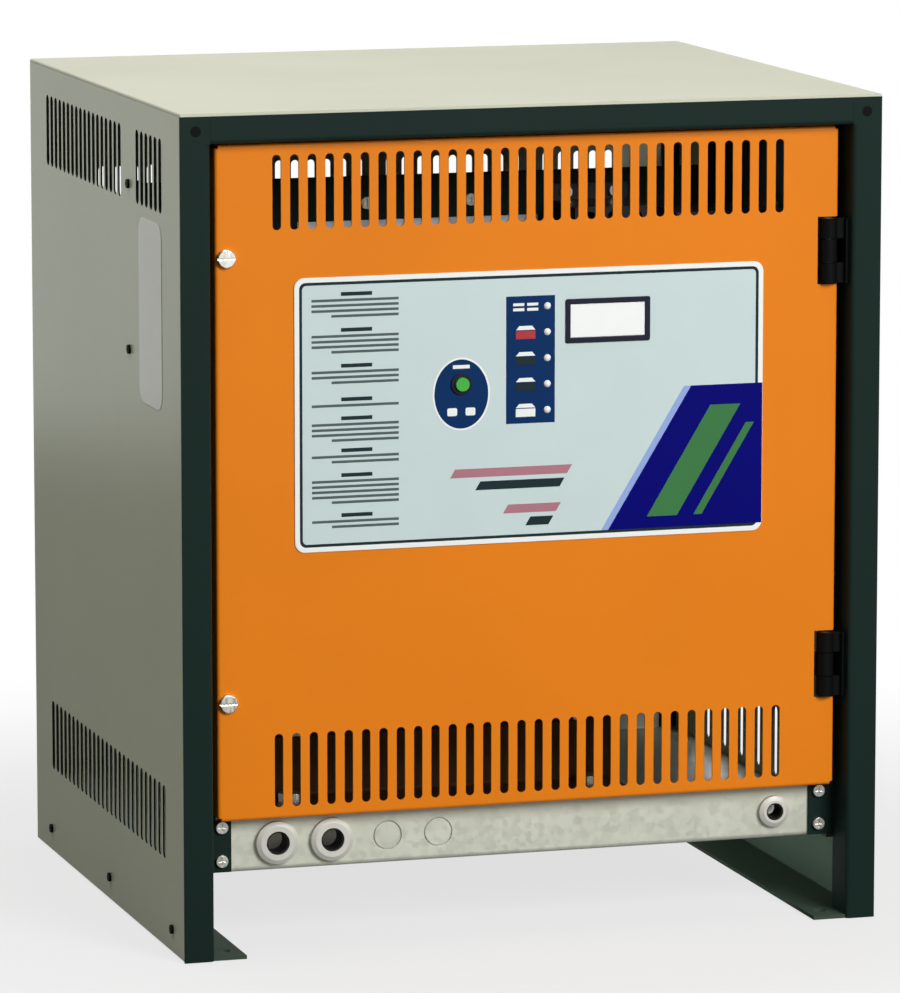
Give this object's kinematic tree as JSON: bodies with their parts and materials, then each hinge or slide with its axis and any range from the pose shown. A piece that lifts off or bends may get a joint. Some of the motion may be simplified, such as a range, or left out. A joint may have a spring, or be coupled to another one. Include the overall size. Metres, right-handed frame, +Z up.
{
  "type": "forklift battery charger",
  "caption": "Floor-standing cabinet charger for traction batteries, with slotted side panels, a hinged orange front door with control label, cable glands below it and foot rails.",
  "frame": {"origin": "on the floor under the middle of the cabinet", "axes": "+X to the right seen from the front, +Y to the rear, +Z up"},
  "size_m": [0.5036, 0.43, 0.58],
  "materials": {
    "frame_paint": "satin black-green paint",
    "panel_paint": "fine-textured pale grey paint",
    "galvanised_sheet": "dull galvanised sheet",
    "rail_paint": "satin black-green paint",
    "dark_screw": "blackened steel",
    "zinc_screw": "zinc-plated steel",
    "gland_metal": "matt nickel-plated metal",
    "seal_rubber": "matt black rubber",
    "hinge_metal": "black-coated metal",
    "pin_steel": "bright steel",
    "sink_aluminium": "extruded aluminium",
    "module_plastic": "black moulded plastic",
    "device_plastic": "dark grey moulded plastic",
    "ceramic_white": "ivory moulding",
    "terminal_plastic": "grey moulded plastic",
    "core_steel": "varnished laminated steel",
    "former_plastic": "pressboard",
    "winding_copper": "varnished copper winding",
    "door_paint": "semi-gloss orange paint",
    "label_print": "satin printed film",
    "bezel_dark": "dark moulded plastic",
    "display_glass": "blank white display window",
    "lamp_lens": "clear white lens",
    "board_laminate": "green board laminate",
    "spacer_brass": "plated brass",
    "latch_metal": "zinc-plated steel",
    "button_plastic": "green moulded plastic"
  },
  "bodies": {
    "cabinet": {"left_frame_post": "frame_paint", "right_frame_post": "frame_paint", "frame_top_rail": "frame_paint", "left_side_panel": "panel_paint", "right_side_panel": "panel_paint", "top_cover": "panel_paint", "rear_panel": "panel_paint", "base_tray": "galvanised_sheet", "left_foot_rail": "rail_paint", "right_foot_rail": "rail_paint", "frame_corner_screws": "dark_screw", "side_panel_screws": "dark_screw", "tray_screws": "zinc_screw", "rear_panel_screws": "dark_screw", "tray_bolts": "zinc_screw", "large_gland_bodies": "gland_metal", "large_gland_locknuts": "gland_metal", "large_gland_seals": "seal_rubber", "small_gland_body": "gland_metal", "small_gland_locknut": "gland_metal", "small_gland_seal": "seal_rubber", "post_hinge_leaves": "hinge_metal", "hinge_pins": "pin_steel", "component_plate": "rail_paint", "heat_sink": "sink_aluminium", "heat_sink_screws": "zinc_screw", "device_screws": "zinc_screw", "rectifier_modules": "module_plastic", "contactor": "device_plastic", "mounting_rail": "zinc_screw", "fuse_holders": "ceramic_white", "terminal_blocks": "terminal_plastic", "control_transformer": "core_steel", "transformer_core": "core_steel", "coil_formers": "former_plastic", "left_coil": "winding_copper", "middle_coil": "winding_copper", "right_coil": "winding_copper", "lower_core_clamps": "rail_paint", "upper_core_clamps": "rail_paint", "core_tie_bolts": "zinc_screw", "core_foot_bolts": "zinc_screw"},
    "door": {"door_panel": "door_paint", "door_hinge_leaves": "hinge_metal", "label_plate": "label_print", "display_bezel": "bezel_dark", "display_module": "display_glass", "indicator_lamps": "lamp_lens", "button_bezel": "bezel_dark", "button_switch": "module_plastic", "control_board": "board_laminate", "board_spacers": "spacer_brass", "latch_bushes": "latch_metal"},
    "button": {"push_button": "button_plastic"},
    "upper_latch": {"upper_latch_stud": "latch_metal", "upper_latch_cam": "latch_metal"},
    "lower_latch": {"lower_latch_stud": "latch_metal", "lower_latch_cam": "latch_metal"}
  },
  "joints": [
    {"name": "door_swing", "type": "hinge", "parent": "cabinet", "child": "door", "pos_m": [0.216, -0.203, 0.32575], "axis": [0, 0, 1], "range_deg": [0, 110]},
    {"name": "button_press", "type": "slide", "parent": "door", "child": "button", "axis": [0, 1, 0], "range_m": [0, 0.0015], "stiffness_N_per_m": 400},
    {"name": "upper_latch_turn", "type": "hinge", "parent": "door", "child": "upper_latch", "pos_m": [-0.2155, -0.203, 0.4805], "axis": [0, 1, 0], "range_deg": [0, 90]},
    {"name": "lower_latch_turn", "type": "hinge", "parent": "door", "child": "lower_latch", "pos_m": [-0.2155, -0.203, 0.176], "axis": [0, 1, 0], "range_deg": [0, 90]}
  ]
}
